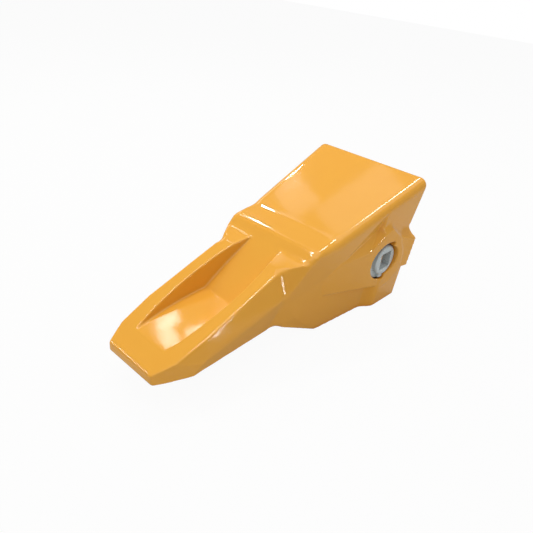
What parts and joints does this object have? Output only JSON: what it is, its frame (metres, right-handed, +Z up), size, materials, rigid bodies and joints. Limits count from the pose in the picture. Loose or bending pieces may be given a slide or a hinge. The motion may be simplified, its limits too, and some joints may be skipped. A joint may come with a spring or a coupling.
{
  "type": "bucket tooth tip",
  "caption": "Cast, painted tip for a bucket tooth: scooped wedge blade, keystone socket for an adapter nose, and a turning lock in each side.",
  "frame": {"origin": "centre of the socket mouth, on the flat rear face", "axes": "+X out of the socket mouth, the point looks along -X, +Z up, mirror plane at Y = 0"},
  "size_m": [0.338, 0.153, 0.153],
  "materials": {
    "painted_casting": "glossy yellow-orange enamel on cast steel",
    "plated_steel": "zinc plated",
    "polymer": "moulded black"
  },
  "bodies": {
    "casting": {"tip_casting": "painted_casting", "near_sleeve": "polymer", "far_sleeve": "polymer"},
    "near_lock_body": {"near_lock": "plated_steel"},
    "far_lock_body": {"far_lock": "plated_steel"}
  },
  "joints": [
    {"name": "near_lock_turn", "type": "hinge", "parent": "casting", "child": "near_lock_body", "pos_m": [-0.0434, -0.06, -0.0123], "axis": [0, 1, 0], "range_deg": [0, 180]},
    {"name": "far_lock_turn", "type": "hinge", "parent": "casting", "child": "far_lock_body", "pos_m": [-0.0434, 0.06, -0.0123], "axis": [0, 1, 0], "range_deg": [0, 180]}
  ]
}
